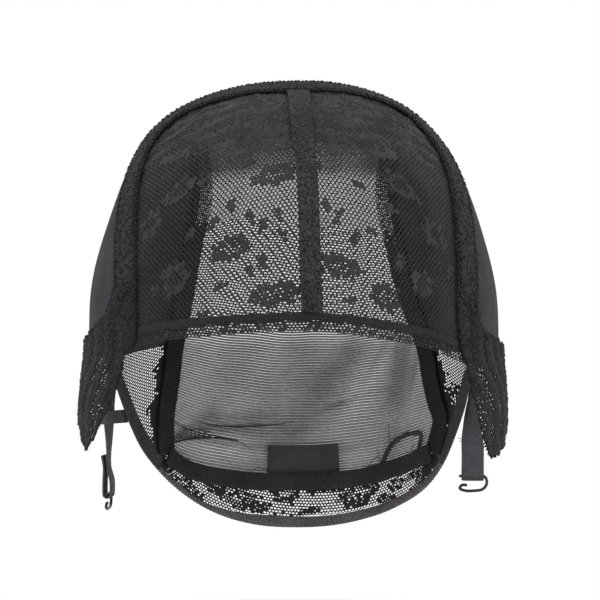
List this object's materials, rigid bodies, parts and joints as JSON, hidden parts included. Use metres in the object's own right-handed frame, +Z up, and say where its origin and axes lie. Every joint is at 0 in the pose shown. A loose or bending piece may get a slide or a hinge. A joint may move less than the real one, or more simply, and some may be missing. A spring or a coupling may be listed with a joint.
{
  "type": "lace wig cap",
  "caption": "Lace wig cap of net panels, stretch sides, a grey mesh back, ribbons, ear tabs and hook-ended adjusting straps, as worn.",
  "frame": {"origin": "inside of the crown, where the top of the head carries the cap", "axes": "+Z up, the forehead towards -Y, +X to the viewer's right seen from the front"},
  "size_m": [0.1625, 0.1911, 0.1784],
  "materials": {
    "lace": "black floral net lace",
    "ribbed": "dark grey ribbed stretch knit",
    "mesh": "grey ribbed see-through stretch mesh",
    "ribbon": "black woven ribbon, stitched edges",
    "elastic": "brown-black ribbed elastic",
    "label": "plain black woven patch",
    "strap": "dark grey woven tape",
    "wire": "black coated wire"
  },
  "bodies": {
    "root": {"front_lace_left": "lace", "front_lace_right": "lace", "front_hem": "lace", "side_panel_left": "ribbed", "side_panel_right": "ribbed", "ear_net_left": "lace", "ear_net_right": "lace", "back_panel": "mesh", "nape_lace": "lace", "ear_edge_left": "elastic", "ear_edge_right": "elastic", "nape_hem": "elastic", "seam_band": "ribbon", "centre_ribbon": "ribbon", "back_ribbon_left": "ribbon", "back_ribbon_right": "ribbon", "nape_band": "elastic", "label_patch": "label", "nape_loop": "elastic", "ear_tab_left": "lace", "ear_tab_right": "lace", "strap_left": "strap", "strap_right": "strap", "strap_keeper_left": "strap", "hook_left": "wire", "hook_right": "wire"}
  },
  "joints": []
}
